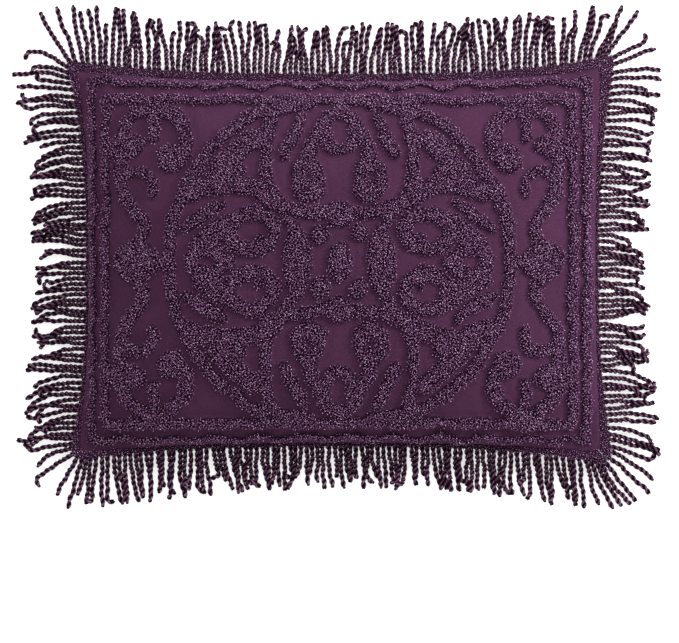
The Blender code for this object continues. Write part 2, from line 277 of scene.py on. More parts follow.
# -------- view
VIEW_COLUMNS = 679
VIEW_ROWS = 643
SHAM_ROW = 262  # row of the view that the sham's middle is on
MM_PER_PIXEL = 1.205
CAMERA_HEIGHT = 6.0


def beads_of(x, y, width):
    """Round beads (x, y, radius) along a line; together they make a tufted band."""
    return list(zip(np.broadcast_to(x, y.shape), y, np.broadcast_to(width, y.shape) / 2))


def arc_beads(cx, cy, rx, ry, start, end, width):
    count = max(4, round(math.radians(abs(end - start)) * max(rx, ry) / STROKE_STEP))
    turn = np.radians(np.linspace(start, end, count + 1))
    return beads_of(cx + rx * np.cos(turn), cy + ry * np.sin(turn), width)


def leaf_beads(x0, y0, x1, y1, width, pointed):
    count = max(4, round(math.hypot(x1 - x0, y1 - y0) / STROKE_STEP))
    share = np.linspace(0, 1, count + 1)
    swell = np.maximum(THINNEST_LEAF, width * (1 - pointed * (2 * share - 1) ** 2))
    return beads_of(x0 + (x1 - x0) * share, y0 + (y1 - y0) * share, swell)


BEADS = [b for row in ARCS for b in arc_beads(*row)] + [b for row in LEAVES for b in leaf_beads(*row)]


def waves(x, y, seed, count, shortest, longest):
    """Smooth uneven values of about -1 to 1 over the plane, the same each run."""
    chance = random.Random(seed)
    total = np.zeros_like(x)
    for _ in range(count):
        length = chance.uniform(shortest, longest)
        heading, phase = chance.uniform(0, math.tau), chance.uniform(0, math.tau)
        total += np.sin(math.tau * (x * math.cos(heading) + y * math.sin(heading)) / length + phase)
    return total / math.sqrt(count)


def frame_distance(x, y, left, right, up, left_width, right_width, end_width, wave, wave_length):
    """Signed distance to one rectangular band, in its wavy or straight form."""
    side_width = np.where(x < 0, left_width, right_width)
    across = np.where(x < 0, left, right)
    drift_up = wave * np.sin(math.tau * x / wave_length)
    drift_across = SIDE_WAVE * wave * np.sin(math.tau * y / wave_length + 1.0)
    dx, dy = np.abs(x) - across + drift_across, np.abs(y) - up + drift_up
    corner = np.hypot(dx, dy) - np.minimum(side_width, end_width) / 2
    side = np.where(dy <= 0, np.abs(dx) - side_width / 2, np.inf)
    end = np.where(dx <= 0, np.abs(dy) - end_width / 2, np.inf)
    return np.where((dx > 0) & (dy > 0), corner, np.minimum(side, end))


def pattern_distance(x, y):
    """Distance in millimetres to the nearest tufted band, negative inside one."""
    x = x + DRIFT * waves(x, y, 3, 5, *DRIFT_LENGTHS)
    y = y + DRIFT * waves(x, y, 4, 5, *DRIFT_LENGTHS)
    qx, qy = np.abs(x), np.abs(y)
    near = np.full_like(x, np.inf)
    for bx, by, half in BEADS:
        near = np.minimum(near, np.hypot(qx - bx, qy - by) - half)
    for cx, cy, rx, ry in DOTS:
        near = np.minimum(near, (np.hypot((qx - cx) / rx, (qy - cy) / ry) - 1) * min(rx, ry))
    for band in FRAME_BANDS:
        near = np.minimum(near, frame_distance(x, y, *band))
    return near + RAGGED * waves(x, y, 5, 7, *RAGGED_LENGTHS)


def smooth_step(t):
    t = np.clip(t, 0, 1)
    return t * t * (3 - 2 * t)


def band_share(distance, inset, slope):
    """1 well inside a tufted band and 0 outside it, from the distance to it."""
    return smooth_step(0.5 - (distance + inset) / slope)


# -------- form of the filled sham
def flat_place(a, b):
    """Place of the face coordinate (a, b), each -1 to 1, on the flat pattern, in millimetres."""
    return a * HALF_WIDTH / MM, b * HALF_HEIGHT / MM


def seam_gaps(a, b):
    """How far in from a side seam and from the top or bottom seam a face coordinate lies."""
    return (1 - np.abs(a)) * HALF_WIDTH, (1 - np.abs(b)) * HALF_HEIGHT


def plan(a, b, grow=0.0):
    """Plan position of the face coordinate, with the outline grown outwards."""
    bow_x = (1 - np.abs(b) ** WAIST_SHAPE) * np.abs(a) ** WAIST_DEPTH_ACROSS
    bow_y = (1 - np.abs(a) ** WAIST_SHAPE) * np.abs(b) ** WAIST_DEPTH_UP
    waist = np.where(a < 0, WAIST_LEFT, WAIST_RIGHT)
    from_side, from_end = seam_gaps(a, b)
    x = a * HALF_WIDTH * (1 - waist * bow_x)
    y = b * HALF_HEIGHT * (1 - WAIST_UP * bow_y)
    for across, up, shift_x, shift_y, rounding in CORNERS:
        nearness = (np.clip(a * across, 0, 1) * np.clip(b * up, 0, 1)) ** CORNER_SPREAD
        here = (a * across > 0) & (b * up > 0)
        in_x = np.clip(1 - from_side / (rounding * MM), 0, 1)
        in_y = np.clip(1 - from_end / (rounding * MM), 0, 1)
        cut_x = rounding * in_x * (1 - np.sqrt(1 - in_y ** 2 / 2))
        cut_y = rounding * in_y * (1 - np.sqrt(1 - in_x ** 2 / 2))
        x = x + across * (shift_x * nearness - here * cut_x) * MM
        y = y + up * (shift_y * nearness - here * cut_y) * MM
    return x + a * grow, y + b * grow


def seam_height(a, b):
    return SEAM_HEIGHT_SIDE + (SEAM_HEIGHT_CORNER - SEAM_HEIGHT_SIDE) * (np.abs(a) * np.abs(b)) ** 3


def crown_share(t):
    return np.maximum(0.0, 1 - np.abs(t) ** CROWN_SPREAD) ** CROWN_ROUNDNESS


def gathers(a, b):
    """Soft pleats that run in from the seam."""
    x, y = flat_place(a, b)
    to_side, to_top = [gap / MM for gap in seam_gaps(a, b)]
    top = waves(x + GATHER_SPLAY * to_top * np.sign(a), 0 * y, 21, 6, *GATHER_LENGTHS)
    side = waves(0 * x, y + GATHER_SPLAY * to_side * np.sign(b), 22, 6, *GATHER_LENGTHS)
    top *= np.exp(-to_top / GATHER_REACH)
    side *= np.exp(-to_side / GATHER_REACH)
    fade = np.clip(to_top / GATHER_START, 0, 1) * np.clip(to_side / GATHER_START, 0, 1)
    return (GATHER_DEPTH * top + GATHER_DEPTH * side) * fade * MM


def slack(a, b):
    """The filling's slow unevenness and the soft drag lines from corner to crown."""
    x, y = flat_place(a, b)
    inside = crown_share(a) * crown_share(b)
    along = np.abs(a) - np.abs(b)
    drag = np.sin(DRAG_LINES * along) * np.exp(-((1 - np.abs(a)) + (1 - np.abs(b))) / DRAG_REACH)
    sag = SLACK_DEPTH * waves(x, y, 31, 6, *SLACK_LENGTHS) * inside
    return (sag + DRAG_DEPTH * drag * np.sqrt(inside)) * MM


def face_height(a, b, distance):
    """Height of the ground cloth on the face, with the bed that the pile stands on."""
    seam = seam_height(a, b)
    rise = (CROWN_HEIGHT - seam) * crown_share(a) * crown_share(b)
    bed = PILE_BED * band_share(distance, *BED_EDGE)
    draw = -PULL_DEPTH * MM * np.exp(-((distance - PULL_PLACE) / PULL_WIDTH) ** 2)
    edge = np.clip((1 - np.maximum(np.abs(a), np.abs(b))) / EDGE_FADE, 0, 1)
    return seam + rise + gathers(a, b) + slack(a, b) + (bed + draw) * edge


# -------- small helpers
def made_object(name, data, material=None):
    obj = bpy.data.objects.new(name, data)
    bpy.context.scene.collection.objects.link(obj)
    if material:
        data.materials.append(material)
    return obj


def mesh_from(bm, name):
    """The bmesh as a new mesh; the bmesh is freed."""
    mesh = bpy.data.meshes.new(name)
    bm.to_mesh(mesh)
    bm.free()
    return mesh


def plain_mesh(obj, name, material):
    """The evaluated object as a plain mesh of its own; the source object is removed."""
    bpy.context.view_layer.update()
    graph = bpy.context.evaluated_depsgraph_get()
    mesh = bpy.data.meshes.new_from_object(obj.evaluated_get(graph))
    mesh.name = name
    bpy.data.objects.remove(obj)
    mesh.materials.clear()
    return made_object(name, mesh, material)


def set_all(thing, settings):
    for key, value in settings.items():
        setattr(thing, key, value)


def put_attribute(mesh, name, values):
    layer = mesh.attributes.new(name, "FLOAT", "POINT")
    layer.data.foreach_set("value", np.ascontiguousarray(values, dtype=np.float32))


# -------- nodes
class Wire:
    """An output of a node. Arithmetic on it adds Math nodes and gives the last one's output."""

    def __init__(self, source):
        self.socket = socket_of(source)

    def __add__(self, other):
        return maths("ADD", self, other)

    def __sub__(self, other):
        return maths("SUBTRACT", self, other)

    def __rsub__(self, other):
        return maths("SUBTRACT", other, self)

    def __mul__(self, other):
        return maths("MULTIPLY", self, other)

    def __truediv__(self, other):
        return maths("DIVIDE", self, other)


def socket_of(source):
    """The socket behind a Wire, or a node's first output."""
    if isinstance(source, Wire):
        return source.socket
    return source.outputs[0] if isinstance(source, bpy.types.Node) else source


def feed(socket, value):
    """Links a socket to its source or sets its plain value; a colour comes without its alpha."""
    if isinstance(value, (Wire, bpy.types.Node, bpy.types.NodeSocket)):
        socket.id_data.links.new(socket_of(value), socket)
    else:
        socket.default_value = (*value, 1.0) if socket.type == "RGBA" else value


def feed_all(made, inputs):
    for key, value in inputs.items():
        feed(made.inputs[key], value)


def node(tree, kind, inputs=None, **settings):
    """Adds a node with the given settings and inputs."""
    made = tree.nodes.new(kind)
    set_all(made, settings)
    feed_all(made, inputs or {})
    return made


def maths(operation, *values):
    tree = next(socket_of(v).id_data for v in values if not isinstance(v, (int, float)))
    return Wire(node(tree, "ShaderNodeMath", dict(enumerate(values)), operation=operation))


def new_group(kind, name, inputs, outputs, output_kind="Float"):
    """A node group. Its inputs have a default, or else they are named after their kind of socket."""
    group = bpy.data.node_groups.new(name, kind)
    for label, default in inputs.items():
        socket_kind = {float: "Float", int: "Int"}.get(type(default), label)
        socket = group.interface.new_socket(label, in_out="INPUT", socket_type="NodeSocket" + socket_kind)
        if default is not None:
            socket.default_value = default
    for label in outputs:
        group.interface.new_socket(label, in_out="OUTPUT", socket_type="NodeSocket" + output_kind)
    given = {socket.name: Wire(socket) for socket in group.nodes.new("NodeGroupInput").outputs}
    return group, given, group.nodes.new("NodeGroupOutput")


def geometry_group(name, inputs):
    inputs = {"Geometry": None, **inputs, "Seed": 1, "Material": None}
    return new_group("GeometryNodeTree", name, inputs, ["Geometry"], "Geometry")


def finish_group(given, result, geometry, spent):
    """Drops attributes that are spent, realises instances, sets the material and hands the result out."""
    tree = result.id_data
    for name in spent:
        geometry = node(tree, "GeometryNodeRemoveAttribute", {"Geometry": geometry, "Name": name})
    geometry = node(tree, "GeometryNodeRealizeInstances", {"Geometry": geometry})
    geometry = node(tree, "GeometryNodeSetMaterial", {"Geometry": geometry, "Material": given["Material"]})
    feed(result.inputs["Geometry"], geometry)
    return tree


def stored(geometry, name, value, data_type="FLOAT", domain="POINT"):
    """The geometry with the value kept on it under a name."""
    return node(geometry.id_data, "GeometryNodeStoreNamedAttribute",
                {"Geometry": geometry, "Name": name, "Value": value}, data_type=data_type, domain=domain)


def recalled(tree, name, data_type="FLOAT"):
    return Wire(node(tree, "GeometryNodeInputNamedAttribute", {"Name": name}, data_type=data_type))


def random_between(tree, low, high, seed):
    """A random value of its own for each element."""
    made = node(tree, "FunctionNodeRandomValue", {2: low, 3: high, "Seed": seed}, data_type="FLOAT")
    return Wire(made.outputs[1])


def scaled(tree, vector, factor):
    return node(tree, "ShaderNodeVectorMath", {0: vector, "Scale": factor}, operation="SCALE")


def ring_section(tree, sides, radius):
    return node(tree, "GeometryNodeCurvePrimitiveCircle", {"Resolution": sides, "Radius": radius})


def round_mesh(line, section):
    """The line given a body, with both ends closed."""
    return node(line.id_data, "GeometryNodeCurveToMesh",
                {"Curve": line, "Profile Curve": section, "Fill Caps": True})


def run_group(obj, group, values):
    """Puts the group on an object as a modifier with the given named inputs."""
    modifier = obj.modifiers.new(group.name, "NODES")
    modifier.node_group = group
    names = {item.name: item.identifier for item in group.interface.items_tree if item.in_out == "INPUT"}
    for label, value in values.items():
        modifier[names[label]] = value


# -------- shader groups
def thread_fuzz_group():
    """Fine broken fibre grain and slow patches, each as a mask of 0 to 1."""
    group, given, result = new_group("ShaderNodeTree", "thread_fuzz", {
        "Vector": None,
        "Grain per metre": 900.0,
        "Patch per metre": 14.0,
    }, ["Grain", "Patch"])
    masks = (("Grain", 3.0, 0.65, 0.36, 0.64), ("Patch", 2.0, 0.5, 0.30, 0.70))
    for label, detail, roughness, low, high in masks:
        noise = node(group, "ShaderNodeTexNoise", {
            "Vector": given["Vector"], "Scale": given[label + " per metre"],
            "Detail": detail, "Roughness": roughness})
        spread = node(group, "ShaderNodeMapRange", {
            "Value": noise.outputs["Fac"], "From Min": low, "From Max": high})
        feed(result.inputs[label], spread)
    return group


def plain_weave_group():
    """Over-and-under plain weave: height of the threads and a mask of their crowns."""
    group, given, result = new_group("ShaderNodeTree", "plain_weave", {
        "Vector": None,
        "Threads per metre": 1900.0,
        "Unevenness": 0.35,
    }, ["Height", "Crown"])
    wobble = node(group, "ShaderNodeTexNoise", {"Vector": given["Vector"], "Scale": 160.0, "Detail": 2.0})
    push = Wire(wobble.outputs["Fac"]) * given["Unevenness"] * 8.0
    split = node(group, "ShaderNodeSeparateXYZ", {"Vector": given["Vector"]})
    turns = given["Threads per metre"] * math.pi
    warp, weft = [maths("SINE", turns * split.outputs[axis] + push) for axis in "XY"]
    woven = warp * weft
    feed(result.inputs["Height"], woven * 0.5 + 0.5)
    feed(result.inputs["Crown"], maths("POWER", maths("ABSOLUTE", woven), 0.7))
    return group


def new_material(name, settings):
    """A material with its shader set up, and the coordinates of its object."""
    material = bpy.data.materials.new(name)
    material.use_nodes = True
    tree = material.node_tree
    feed_all(tree.nodes["Principled BSDF"], settings)
    return material, tree.nodes["Principled BSDF"], node(tree, "ShaderNodeTexCoord").outputs["Object"]


def cloth_material(name, fuzz, grain_per_metre, roughness, gloss, sheen, sheen_tint):
    """A new cloth material with its shader, object coordinates, and fibre grain and patches."""
    material, shader, place = new_material(name, {
        "Roughness": roughness, "Specular IOR Level": gloss,
        "Sheen Weight": sheen, "Sheen Roughness": 0.45, "Sheen Tint": sheen_tint})
    fibres = node(material.node_tree, "ShaderNodeGroup",
                  {"Vector": place, "Grain per metre": grain_per_metre}, node_tree=fuzz)
    return material, shader, place, Wire(fibres.outputs["Grain"]), Wire(fibres.outputs["Patch"])


def finish_cloth(shader, tone, height, distance, strength):
    """Gives the shader its colour and its bump."""
    bump = node(shader.id_data, "ShaderNodeBump", {
        "Height": height, "Distance": distance, "Strength": strength})
    feed_all(shader, {"Base Color": tone, "Normal": bump})


def colour_ramp(factor, stops):
    ramp = node(socket_of(factor).id_data, "ShaderNodeValToRGB", {"Fac": factor})
    elements = ramp.color_ramp.elements
    for element, (position, colour) in zip(elements, (stops[0], stops[-1])):
        element.position = position
        element.color = (*colour, 1.0)
    for position, colour in stops[1:-1]:
        elements.new(position).color = (*colour, 1.0)
    return ramp.outputs["Color"]


def mixed(factor, first, second, blend="MIX"):
    tree = socket_of(first).id_data
    inputs = {0: factor, 6: first, 7: second}
    return node(tree, "ShaderNodeMix", inputs, data_type="RGBA", blend_type=blend).outputs[2]


def attribute(tree, name, output="Fac"):
    return Wire(node(tree, "ShaderNodeAttribute", attribute_name=name).outputs[output])


# -------- cloths
def ground_cloth(weave, fuzz):
    """Plum plain-woven ground cloth, with painted shade under and beside the pile and along the seam, and
    a faint painted highlight on the threads' crowns.
    """
    material, shader, place, grain, patch = cloth_material(
        "plum_ground_cloth", fuzz, 680.0, 0.88, 0.08, 0.08, (0.80, 0.38, 0.72))
    tree = material.node_tree
    threads = node(tree, "ShaderNodeGroup", {"Vector": place}, node_tree=weave)
    tone = colour_ramp(patch, ((0.0, (0.042, 0.0125, 0.0345)), (1.0, (0.054, 0.0165, 0.0445))))
    # painted highlight on the threads' crowns
    tone = mixed(Wire(threads.outputs["Crown"]) * 0.25, tone, (0.060, 0.0225, 0.051))
    tone = mixed(grain * 0.50, tone, (0.012, 0.0036, 0.0105))
    # painted shade under and beside the pile and along the seam
    dark = maths("MAXIMUM", attribute(tree, "painted_pile_shade"), attribute(tree, "painted_seam_shade") * 0.85)
    tone = mixed(dark, tone, (0.010, 0.003, 0.010))
    finish_cloth(shader, tone, Wire(threads.outputs["Height"]) + grain * 0.5, 0.0005, 0.55)
    return material


def pile_yarn(fuzz, name, brightness):
    """Cut chenille yarn: painted shade deep at the root, a pale painted highlight at the tip, some yarns
    much paler.
    """
    material, shader, _, grain, patch = cloth_material(
        name, fuzz, 1150.0, 0.9, 0.02, 0.06, (0.80, 0.35, 0.72))
    tree = material.node_tree
    # painted shade deep at the yarn's root, rising to a pale painted highlight at its tip
    tip = colour_ramp(attribute(tree, "yarn_height"), (
        (0.00, (0.001, 0.0003, 0.001)),
        (0.50, (0.012, 0.002, 0.010)),
        (0.72, (0.066, 0.020, 0.058)),
        (1.00, (0.302, 0.172, 0.273)),
    ))
    own = maths("POWER", attribute(tree, "yarn_tone"), 1.7) * 1.45 + 0.40
    own = maths("MINIMUM", own * (grain * 1.7 + 0.15) * brightness, 2.7)
    shade = node(tree, "ShaderNodeCombineColor", {
        "Red": own, "Green": own * (own * 0.38 + 0.44), "Blue": own * (own * 0.07 + 0.96)})
    tone = mixed(1.0, tip, shade, "MULTIPLY")
    tone = mixed(patch * 0.12, tone, (0.050, 0.018, 0.048))
    finish_cloth(shader, tone, grain, 0.0003, 0.4)
    return material


def cord_yarn(fuzz):
    """Two-ply cotton cord, each ply a twisted yarn: painted shade between the plies and along each ply's
    yarns, a painted highlight on the plies' crowns and painted shade towards the root.
    """
    material, shader, _, grain, _ = cloth_material(
        "plum_twisted_cord", fuzz, 1000.0, 0.85, 0.02, 0.03, (0.80, 0.40, 0.74))
    tree = material.node_tree
    # painted shade between the plies, painted highlight on their crowns
    tone = colour_ramp(attribute(tree, "ply_crown"), (
        (0.55, (0.0012, 0.0002, 0.0010)),
        (0.80, (0.0110, 0.0026, 0.0090)),
        (0.90, (0.0800, 0.0285, 0.0650)),
        (0.97, (0.280, 0.146, 0.238)),
    ))
    run = attribute(tree, "cord_run")
    around = node(tree, "ShaderNodeSeparateXYZ", {"Vector": attribute(tree, "ply_round", "Vector")})
    angle = maths("ARCTAN2", around.outputs["Y"], around.outputs["X"])
    lay = maths("SINE", angle * 3.0 + run * (math.tau / YARN_LAY))
    # painted shade in stripes between the twisted yarns of each ply
    tone = mixed((lay + 1.0) * 0.34, tone, (0.0045, 0.0010, 0.0040))
    tone = mixed(grain * 0.84, tone, (0.0070, 0.0014, 0.0058))
    # painted shade towards the cord's root
    tone = mixed(maths("EXPONENT", run * (-1 / ROOT_SHADE)) * 0.62, tone, (0.0050, 0.0010, 0.0042))
    finish_cloth(shader, tone, grain + lay * 0.45, 0.0004, 0.7)
    return material


def heading_tape(weave, fuzz):
    """The fringe's woven heading, in thick threads, with painted shade between the threads and a painted
    highlight on their crowns.
    """
    material, shader, place, grain, _ = cloth_material(
        "plum_heading_tape", fuzz, 900.0, 0.88, 0.03, 0.06, (0.80, 0.38, 0.72))
    threads = node(material.node_tree, "ShaderNodeGroup",
                   {"Vector": place, "Threads per metre": 420.0}, node_tree=weave)
    # painted shade between the threads, painted highlight on their crowns
    tone = colour_ramp(threads.outputs["Crown"], (
        (0.05, (0.005, 0.0012, 0.0042)),
        (0.60, (0.022, 0.0064, 0.019)),
        (1.00, (0.060, 0.023, 0.052)),
    ))
    tone = mixed(grain * 0.35, tone, (0.012, 0.004, 0.012))
    finish_cloth(shader, tone, threads.outputs["Height"], 0.0012, 0.8)
    return material


# -------- cover
def flat_grid(name, columns, rows):
    """A grid mesh and the face coordinates, each -1 to 1, of its points."""
    bm = bmesh.new()
    bmesh.ops.create_grid(bm, x_segments=columns, y_segments=rows, size=1.0)
    mesh = mesh_from(bm, name)
    flat = np.empty(len(mesh.vertices) * 3)
    mesh.vertices.foreach_get("co", flat)
    return mesh, flat[0::3].copy(), flat[1::3].copy()


def weight_group(obj, name, weights):
    group = obj.vertex_groups.new(name=name)
    for index, weight in enumerate(weights):
        group.add([index], float(weight), "REPLACE")


def settling_cloth(obj, to_seam):
    """Cloth that is sewn down at the seam, held by the filling and cut a little too large."""
    held = FILLING_HOLD[0] + (FILLING_HOLD[1] - FILLING_HOLD[0]) * np.clip(to_seam / FILLING_REACH, 0, 1)
    weight_group(obj, "held", np.where(to_seam < 0.01 * MM, 1.0, held))
    weight_group(obj, "taut", np.clip(to_seam / SPARE_REACH, 0, 1) ** 0.8)
    modifier = obj.modifiers.new("settle", "CLOTH")
    modifier.collision_settings.use_collision = False
    modifier.point_cache.frame_end = SETTLE_FRAMES
    set_all(modifier.settings, SETTLING)
    modifier.settings.effector_weights.gravity = 0


def settled_cover():
    """How far each point of a coarse grid of the face moves as the slack cover settles."""
    mesh, a, b = flat_grid("settling_cover", SETTLE_COLUMNS, SETTLE_ROWS)
    moves = np.zeros((SETTLE_ROWS + 1, SETTLE_COLUMNS + 1, 3))
    start = np.column_stack((*plan(a, b), face_height(a, b, np.full_like(a, BARE))))
    mesh.vertices.foreach_set("co", start.ravel())
    obj = made_object("settling_cover", mesh)
    settling_cloth(obj, np.minimum(*seam_gaps(a, b)))
    for frame in range(1, SETTLE_FRAMES + 1):
        bpy.context.scene.frame_set(frame)
    settled = obj.evaluated_get(bpy.context.evaluated_depsgraph_get()).data
    end = np.empty(start.size)
    settled.vertices.foreach_get("co", end)
    bpy.data.objects.remove(obj)
    bpy.context.scene.frame_set(1)
    move = end.reshape(-1, 3) - start
    length = np.linalg.norm(move, axis=1, keepdims=True)
    move *= np.minimum(1, SETTLE_CAP / np.maximum(length, 1e-9))
    row, column = np.rint((b + 1) / 2 * SETTLE_ROWS), np.rint((a + 1) / 2 * SETTLE_COLUMNS)
    moves[row.astype(int), column.astype(int)] = move
    moves[1:-1] = (moves[:-2] + 2 * moves[1:-1] + moves[2:]) / 4
    moves[:, 1:-1] = (moves[:, :-2] + 2 * moves[:, 1:-1] + moves[:, 2:]) / 4
    return moves


def moved_by(moves, a, b):
    """The settled cover's move at each face coordinate, between the points of its grid."""
    row, column = (b + 1) / 2 * SETTLE_ROWS, (a + 1) / 2 * SETTLE_COLUMNS
    low_row = np.clip(row.astype(int), 0, SETTLE_ROWS - 1)
    low_column = np.clip(column.astype(int), 0, SETTLE_COLUMNS - 1)
    up, along = (row - low_row)[:, None], (column - low_column)[:, None]
    low, high = [moves[at, low_column] * (1 - along) + moves[at, low_column + 1] * along
                 for at in (low_row, low_row + 1)]
    return low * (1 - up) + high * up


def face_grid(moves):
    """The settled face as a grid mesh, with its face coordinates and pattern distance."""
    mesh, a, b = flat_grid("face_grid", COVER_COLUMNS, COVER_ROWS)
    distance = pattern_distance(*flat_place(a, b))
    points = np.column_stack((*plan(a, b), face_height(a, b, distance))) + moved_by(moves, a, b)
    mesh.vertices.foreach_set("co", points.ravel())
    mesh.update()
    return mesh, a, b, distance


def sewn_cover(material, moves):
    """The face, carried round the seam to a plain back that is flat where it rests."""
    mesh, a, b, distance = face_grid(moves)
    # painted shade on the ground cloth under and beside the pile bands
    put_attribute(mesh, "painted_pile_shade", band_share(distance, *PILE_SHADE_EDGE))
    # painted shade in a dark line along the seam, strongest at the seam itself
    to_seams = ((1 - b) * HALF_HEIGHT, (1 + b) * HALF_HEIGHT, (1 + a) * HALF_WIDTH, (1 - a) * HALF_WIDTH)
    seam_shades = [np.exp(-(away / reach) ** 2) for away, reach in zip(to_seams, SEAM_SHADE_REACHES)]
    put_attribute(mesh, "painted_seam_shade", np.max(seam_shades, axis=0))
    bm = bmesh.new()
    bm.from_mesh(mesh)
    rim = [edge for edge in bm.edges if edge.is_boundary]
    seam = {vert.co.to_tuple(7): vert.co.copy() for edge in rim for vert in edge.verts}
    for share in UNDER_SHARES:
        made = bmesh.ops.extrude_edge_only(bm, edges=rim)["geom"]
        rim = [part for part in made if isinstance(part, bmesh.types.BMEdge)]
        climb = (share - REST_SHARE) / (1 - REST_SHARE)
        above, seam = seam, {}
        for vert in {vert for edge in rim for vert in edge.verts}:
            origin = above[vert.co.to_tuple(7)]
            vert.co = Vector((origin.x * share, origin.y * share, origin.z * climb ** REST_CURVE))
            seam[vert.co.to_tuple(7)] = origin
    bmesh.ops.contextual_create(bm, geom=rim)
    bmesh.ops.recalc_face_normals(bm, faces=bm.faces)
    # the back gets no painted shade from the pile
    layer = bm.verts.layers.float.get("painted_pile_shade")
    for vert in bm.verts:
        if vert.normal.z < 0:
            vert[layer] = 0.0
    bm.to_mesh(mesh)
    bm.free()
    mesh.shade_smooth()
    mesh.name = "sewn_cover"
    return made_object("sewn_cover", mesh, material)


# -------- pile
def pile_group():
    """Short cut yarns in tufts, scattered over a patch and leaning every way."""
    tree, given, result = geometry_group("chenille_pile", {
        "Spacing": PILE_SPACING,
        "Yarn Length": PILE_LENGTH,
        "Yarn Radius": 0.50 * MM,
        "Taper": 0.25,
        "Yarns": 4,
        "Splay": 0.75,
        "Lean": 0.5,
    })
    tip = node(tree, "ShaderNodeCombineXYZ", {"Z": given["Yarn Length"]})
    line = node(tree, "GeometryNodeCurvePrimitiveLine", {"End": tip})
    share = node(tree, "GeometryNodeSplineParameter").outputs["Factor"]
    thick = 1.0 - Wire(share) * given["Taper"]
    line = node(tree, "GeometryNodeSetCurveRadius", {"Curve": line, "Radius": thick})
    line = stored(line, "yarn_height", share)
    yarn = round_mesh(line, ring_section(tree, 3, given["Yarn Radius"]))
    yarn = node(tree, "GeometryNodeSetShadeSmooth", {"Geometry": yarn, "Shade Smooth": True})

    ring = node(tree, "GeometryNodeMeshCircle", {"Vertices": given["Yarns"], "Radius": TUFT_RADIUS})
    place = node(tree, "GeometryNodeInputPosition")
    outward = node(tree, "ShaderNodeVectorMath", {0: place}, operation="NORMALIZE")
    outward = scaled(tree, outward, given["Splay"])
    upward = node(tree, "ShaderNodeVectorMath", {0: outward, 1: (0.0, 0.0, 1.0)}, operation="ADD")
    aim = node(tree, "FunctionNodeAlignRotationToVector", {"Vector": upward}, axis="Z")
    tuft = node(tree, "GeometryNodeInstanceOnPoints", {"Points": ring, "Instance": yarn, "Rotation": aim})
    order = Wire(node(tree, "GeometryNodeInputIndex")) / given["Yarns"]
    tuft = stored(tuft, "yarn_place", order, domain="INSTANCE")
    tuft = node(tree, "GeometryNodeRealizeInstances", {"Geometry": tuft})

    scatter = node(tree, "GeometryNodeDistributePointsOnFaces", distribute_method="POISSON")
    feed_all(scatter, {
        "Mesh": given["Geometry"], "Distance Min": given["Spacing"], "Density Max": TUFTS_PER_SQUARE_METRE,
        "Density Factor": recalled(tree, "pile_share"), "Seed": given["Seed"]})
    low, high = [
        node(tree, "ShaderNodeCombineXYZ", {"X": lean, "Y": lean, "Z": half_turn})
        for lean, half_turn in ((given["Lean"] * -1.0, -math.pi), (given["Lean"], math.pi))]
    sway = node(tree, "FunctionNodeRandomValue", {"Min": low, "Max": high, "Seed": given["Seed"]},
                data_type="FLOAT_VECTOR")
    turn = node(tree, "FunctionNodeEulerToRotation", {"Euler": sway})
    stand = node(tree, "FunctionNodeRotateRotation", rotation_space="LOCAL")
    feed_all(stand, {"Rotation": scatter.outputs["Rotation"], "Rotate By": turn})
    size = random_between(tree, *TUFT_SIZES, given["Seed"])
    pile = node(tree, "GeometryNodeInstanceOnPoints",
                {"Points": scatter, "Instance": tuft, "Rotation": stand, "Scale": size})
    pile = stored(pile, "tuft_tone", random_between(tree, 0.0, 1.0, given["Seed"]), domain="INSTANCE")
    pile = node(tree, "GeometryNodeRealizeInstances", {"Geometry": pile})
    tone = maths("FRACT", recalled(tree, "tuft_tone") + recalled(tree, "yarn_place"))
    pile = stored(pile, "yarn_tone", tone)
    return finish_group(given, result, pile, ("tuft_tone", "yarn_place"))


PILE_QUARTERS = (
    # name, side across, side up
    ("pile_top_left", -1, 1),
    ("pile_top_right", 1, 1),
    ("pile_bottom_left", -1, -1),
    ("pile_bottom_right", 1, -1),
)


def pile_patch(name, mesh, keep):
    """The kept points of the face, as an object that pile can grow on."""
    bm = bmesh.new()
    bm.from_mesh(mesh)
    bm.verts.ensure_lookup_table()
    bmesh.ops.delete(bm, geom=[bm.verts[i] for i in np.flatnonzero(~keep)], context="VERTS")
    return made_object(name + "_bed", mesh_from(bm, name))


def chenille_pile(group, material, moves):
    mesh, a, b, distance = face_grid(moves)
    share = band_share(distance, *PILE_EDGE)
    put_attribute(mesh, "pile_share", share)
    pieces = []
    for seed, (name, side_x, side_y) in enumerate(PILE_QUARTERS, start=5):
        bed = pile_patch(name, mesh, (share > 0.02) & (a * side_x >= -1e-6) & (b * side_y >= -1e-6))
        run_group(bed, group, {"Seed": seed, "Material": material})
        pieces.append(plain_mesh(bed, name, material))
    return pieces


# -------- fringe
OUTWARDS = {"top": 90, "bottom": -90, "left": 180, "right": 0}
FAN_SIGN = {"top": -1, "bottom": 1, "left": -1, "right": 1}


def on_side(side, t, grow):
    """Plan point and seam height at t (-1 to 1) along a side, grown outwards."""
    a, b = {"top": (t, 1), "bottom": (t, -1), "left": (-1, t), "right": (1, t)}[side]
    x, y = plan(a, b, grow)
    return np.array((x, y, seam_height(a, b)))


def cord_reach(side, t):
    marks = CORD_REACH[side]
    return float(np.interp(t, np.linspace(-1, 1, len(marks)), marks)) * MM


def corner_fan(side, t):
    """Turn away from the side's own outward direction near a corner."""
    spread = CORNER_FAN_SPREAD[side][0 if t < 0 else 1]
    return FAN_SIGN[side] * math.copysign(CORNER_FAN * abs(t) ** spread, t)


def heading_shows(side, t):
    """How far the looped heading reaches out from the seam at t on a side."""
    low, middle, high = HEADING_SHOWS[side]
    end = low if t < 0 else high
    return (middle + (end - middle) * abs(t) ** 2.2) * MM


def plan_run(route):
    """Distance along a route, as seen from above, at each of its points."""
    return np.cumsum(np.append(0, np.hypot(*np.diff(route[:, :2], axis=0).T)))


def drawn_angle(chance, degrees):
    return math.radians(chance.uniform(*degrees))


